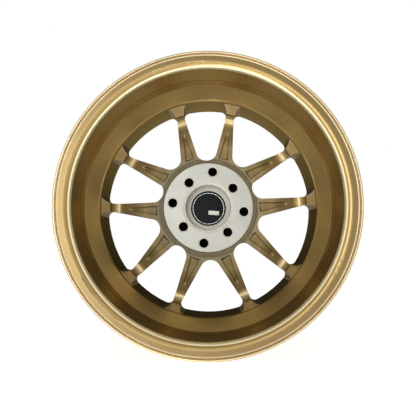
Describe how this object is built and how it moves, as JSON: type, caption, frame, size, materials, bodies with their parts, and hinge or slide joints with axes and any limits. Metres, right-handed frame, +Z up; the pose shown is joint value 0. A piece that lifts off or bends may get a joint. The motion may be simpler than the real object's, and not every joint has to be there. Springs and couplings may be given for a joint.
{
  "type": "racing wheel rim",
  "caption": "Forged racing wheel rim with paired spokes, a flat hub pad, two bolt circles, a centre cap and a tyre valve.",
  "frame": {"origin": "where the axle line meets the rim's centre plane, midway between the two flanges' outer faces", "axes": "+Y along the axle towards the outboard (street) side, +Z up with the wheel standing on its tread edge, +X to the right seen from the inboard (brake) side"},
  "size_m": [0.4152, 0.2286, 0.4152],
  "materials": {
    "gold_paint": "bronze-gold gloss paint on forged aluminium, bare machined hub pad and bore",
    "black_plastic": "satin moulded black",
    "spring_steel": "bright wire",
    "black_rubber": "matt",
    "adhesive": "foam tape",
    "emblem_metal": "brushed, blank",
    "label_paper": "blank cream paper",
    "bare_aluminium": "turned",
    "brass": "turned"
  },
  "bodies": {
    "wheel": {"rim_barrel": "gold_paint", "wheel_centre": "gold_paint", "valve_stem": "bare_aluminium", "valve_grommet": "black_rubber", "valve_washer": "bare_aluminium", "valve_nut": "bare_aluminium", "valve_core": "brass", "valve_core_seal": "black_rubber", "valve_core_spring": "spring_steel"},
    "cap": {"centre_cap": "black_plastic", "cap_wire_ring": "spring_steel", "cap_seal": "black_rubber", "cap_emblem_adhesive": "adhesive", "cap_emblem": "emblem_metal", "cap_rear_label": "label_paper"},
    "plugs_small": {"hole_plugs_small_circle": "black_plastic"},
    "plugs_large": {"hole_plugs_large_circle": "black_plastic"},
    "core_pin": {"valve_core_pin": "brass", "valve_core_poppet": "black_rubber"},
    "dust_cap_seal": {"valve_dust_cap_seal": "black_rubber"},
    "dust_cap": {"valve_dust_cap": "black_plastic"}
  },
  "joints": [
    {"name": "centre_cap_pull", "type": "slide", "parent": "wheel", "child": "cap", "axis": [0, 1, 0], "range_m": [0, 0.025]},
    {"name": "plugs_small_pull", "type": "slide", "parent": "wheel", "child": "plugs_small", "axis": [0, 1, 0], "range_m": [0, 0.02]},
    {"name": "plugs_large_pull", "type": "slide", "parent": "wheel", "child": "plugs_large", "axis": [0, 1, 0], "range_m": [0, 0.02]},
    {"name": "core_pin_press", "type": "slide", "parent": "wheel", "child": "core_pin", "axis": [0, -1, 0], "range_m": [0, 0.0015], "stiffness_N_per_m": 500, "deforming": ["valve_core_spring"]},
    {"name": "dust_cap_lift", "type": "slide", "parent": "wheel", "child": "dust_cap_seal", "axis": [0, 1, 0], "range_m": [0, 0.0056]},
    {"name": "dust_cap_turn", "type": "hinge", "parent": "dust_cap_seal", "child": "dust_cap", "pos_m": [0.11039, 0.097, -0.14129], "axis": [0, 1, 0], "range_deg": [0, 2541]}
  ],
  "couplings": [
    {"joint": "dust_cap_turn", "follows": "dust_cap_lift", "rad_per_m": 7913.3}
  ]
}
